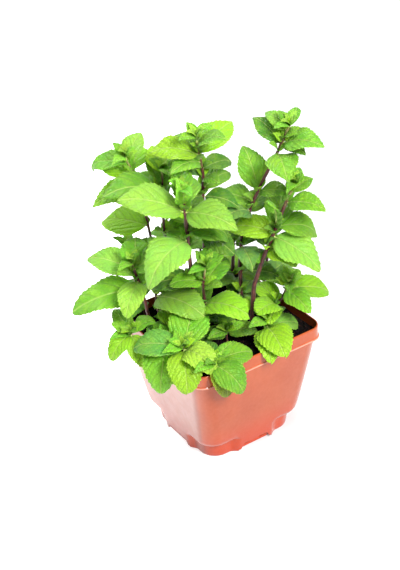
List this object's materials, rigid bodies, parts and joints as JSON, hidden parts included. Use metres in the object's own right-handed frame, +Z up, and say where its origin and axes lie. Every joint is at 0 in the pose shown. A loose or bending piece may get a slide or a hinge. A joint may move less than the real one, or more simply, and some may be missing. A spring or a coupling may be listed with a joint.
{
  "type": "potted mint plant",
  "caption": "Leafy mint plant with purple stems and toothed green leaves, standing in soil in a square terracotta-coloured plastic nursery pot.",
  "frame": {"origin": "centre of the pot, level with the underside of its floor and within 2 mm of the ground it stands on", "axes": "+Z up; -Y and -X are two flat sides of the square pot"},
  "size_m": [0.1805, 0.1631, 0.2449],
  "materials": {
    "pot_plastic": "satin, faintly mottled moulded plastic",
    "soil": "dark, damp and crumbly",
    "leafy_stem": "soft sheen, quilted between the veins, light shining through"
  },
  "bodies": {
    "root": {"pot": "pot_plastic", "soil": "soil", "stem_tall_front": "leafy_stem", "stem_tall_centre": "leafy_stem", "stem_tall_right": "leafy_stem", "stem_leaning_right": "leafy_stem", "stem_left": "leafy_stem", "stem_front_left": "leafy_stem", "stem_left_corner": "leafy_stem", "stem_front": "leafy_stem", "stem_low_centre": "leafy_stem", "stem_middle": "leafy_stem", "stem_low_right": "leafy_stem", "stem_front_right": "leafy_stem", "stem_left_inner": "leafy_stem", "stem_over_left_rim": "leafy_stem", "stem_upper_left": "leafy_stem", "stem_upper_middle": "leafy_stem", "stem_back_left": "leafy_stem", "stem_back": "leafy_stem", "stem_back_right": "leafy_stem", "stem_right_rear": "leafy_stem", "stem_back_low": "leafy_stem"}
  },
  "joints": []
}
